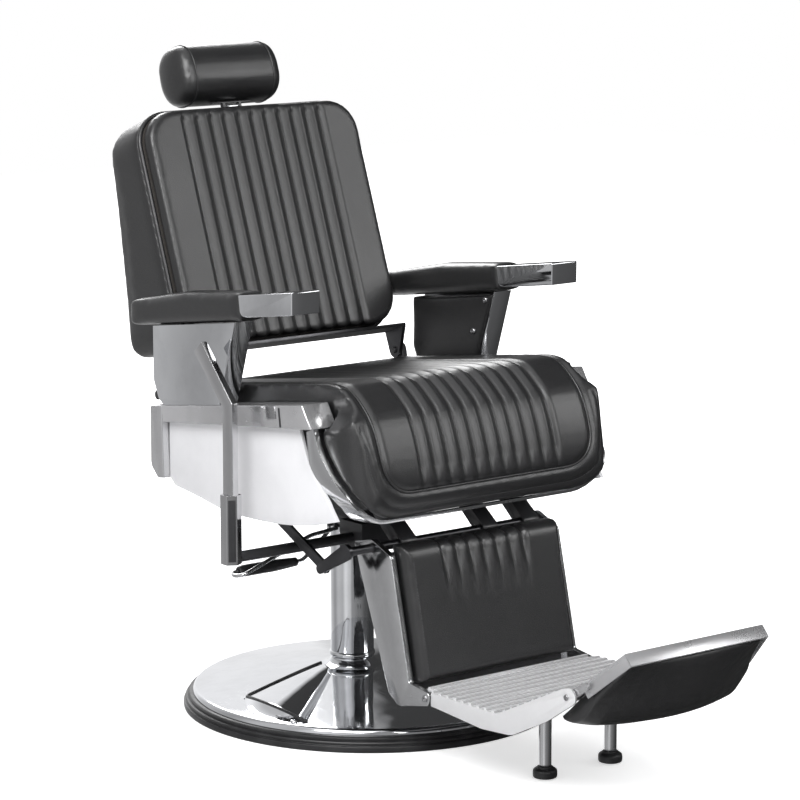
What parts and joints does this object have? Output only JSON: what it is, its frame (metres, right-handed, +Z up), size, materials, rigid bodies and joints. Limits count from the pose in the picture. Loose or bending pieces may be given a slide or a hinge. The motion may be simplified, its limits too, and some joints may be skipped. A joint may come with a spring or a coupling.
{
  "type": "hydraulic barber chair",
  "caption": "Hydraulic barber chair with a ribbed black leather seat, reclining back, tilting headrest, linked legrest, folding kick plate, pump lever and swivel base.",
  "frame": {"origin": "floor under the swivel axis", "axes": "+Z up along the column, the occupant faces -Y, +X is the occupant's left"},
  "size_m": [0.7265, 1.4021, 1.2032],
  "materials": {
    "rubber": "matt",
    "chrome": "polished",
    "steel": "satin",
    "black_steel": "satin",
    "gloss_white": "gloss",
    "leather": "satin",
    "plywood": "matt",
    "aluminium": "satin",
    "grip": "matt"
  },
  "bodies": {
    "base": {"base_ring": "rubber", "base_plate": "steel", "base_dome": "chrome", "cylinder_tube": "chrome"},
    "lift": {"piston_rod": "steel", "thrust_bearing": "steel"},
    "seat_unit": {"column_sleeve": "chrome", "swivel_head": "black_steel", "seat_tray": "black_steel", "seat_board": "plywood", "rear_panel": "gloss_white", "rail_left": "chrome", "rail_right": "chrome", "rear_cap_left": "chrome", "rear_cap_right": "chrome", "side_panel_left": "gloss_white", "side_panel_right": "gloss_white", "front_band": "chrome", "seat_cushion": "leather", "recline_bracket_left": "black_steel", "recline_bracket_right": "black_steel", "legrest_hanger_left": "black_steel", "legrest_hanger_middle": "black_steel", "legrest_hanger_right": "black_steel", "arm_core_left": "leather", "arm_core_right": "leather", "arm_plate_left": "chrome", "arm_plate_right": "chrome", "arm_pad_left": "leather", "arm_pad_right": "leather", "arm_cap_left": "chrome", "arm_cap_right": "chrome"},
    "back": {"back_hinge_frame": "steel", "backrest_pad": "leather", "backrest_board": "plywood", "backrest_cover": "leather", "headrest_guide": "steel"},
    "headrest_post": {"headrest_bar": "chrome"},
    "headrest": {"headrest_bracket": "steel", "headrest_cushion": "leather"},
    "link": {"recline_link": "steel"},
    "legrest": {"legrest_pad": "leather", "legrest_board": "black_steel", "legrest_bar_left": "chrome", "legrest_bar_right": "chrome", "legrest_shaft": "steel", "footrest_tread": "aluminium", "kick_shaft": "steel", "foot_stem_left": "chrome", "foot_stem_right": "chrome", "foot_pad_left": "rubber", "foot_pad_right": "rubber"},
    "kick": {"kick_plate": "aluminium", "kick_pad": "leather"},
    "lever": {"pump_lever": "chrome", "lever_shaft": "black_steel"},
    "release": {"release_loop": "chrome", "release_grip": "grip"}
  },
  "joints": [
    {"name": "lift", "type": "slide", "parent": "base", "child": "lift", "axis": [0, 0, 1], "range_m": [0, 0.15]},
    {"name": "swivel", "type": "hinge", "parent": "lift", "child": "seat_unit", "pos_m": [0, 0, 0.35], "axis": [0, 0, 1], "continuous": true},
    {"name": "back_recline", "type": "hinge", "parent": "seat_unit", "child": "back", "pos_m": [0, 0.18504, 0.6098], "axis": [-1, 0, 0], "range_deg": [0, 42]},
    {"name": "legrest_raise", "type": "hinge", "parent": "seat_unit", "child": "legrest", "pos_m": [0, -0.3092, 0.36601], "axis": [-1, 0, 0], "range_deg": [0, 42]},
    {"name": "link_turn", "type": "hinge", "parent": "back", "child": "link", "pos_m": [-0.2437, 0.25865, 0.5673], "axis": [-1, 0, 0], "range_deg": [-42, 0]},
    {"name": "headrest_height", "type": "slide", "parent": "back", "child": "headrest_post", "axis": [0, 0.3387, 0.9409], "range_m": [0, 0.1]},
    {"name": "headrest_tilt", "type": "hinge", "parent": "headrest_post", "child": "headrest", "pos_m": [0, 0.37174, 1.0841], "axis": [1, 0, 0], "range_deg": [-20, 20]},
    {"name": "kick_fold", "type": "hinge", "parent": "legrest", "child": "kick", "pos_m": [0, -0.82401, 0.20399], "axis": [-1, 0, 0], "range_deg": [0, 112]},
    {"name": "pump", "type": "hinge", "parent": "seat_unit", "child": "lever", "pos_m": [-0.36, -0.113, 0.336], "axis": [1, 0, 0], "range_deg": [-20, 20]},
    {"name": "release_lift", "type": "hinge", "parent": "seat_unit", "child": "release", "pos_m": [-0.063, -0.03, 0.349], "axis": [0, 1, 0], "range_deg": [0, 8], "stiffness_Nm_per_rad": 4}
  ],
  "couplings": [
    {"joint": "legrest_raise", "follows": "back_recline", "ratio": 1},
    {"joint": "link_turn", "follows": "back_recline", "ratio": -1}
  ]
}
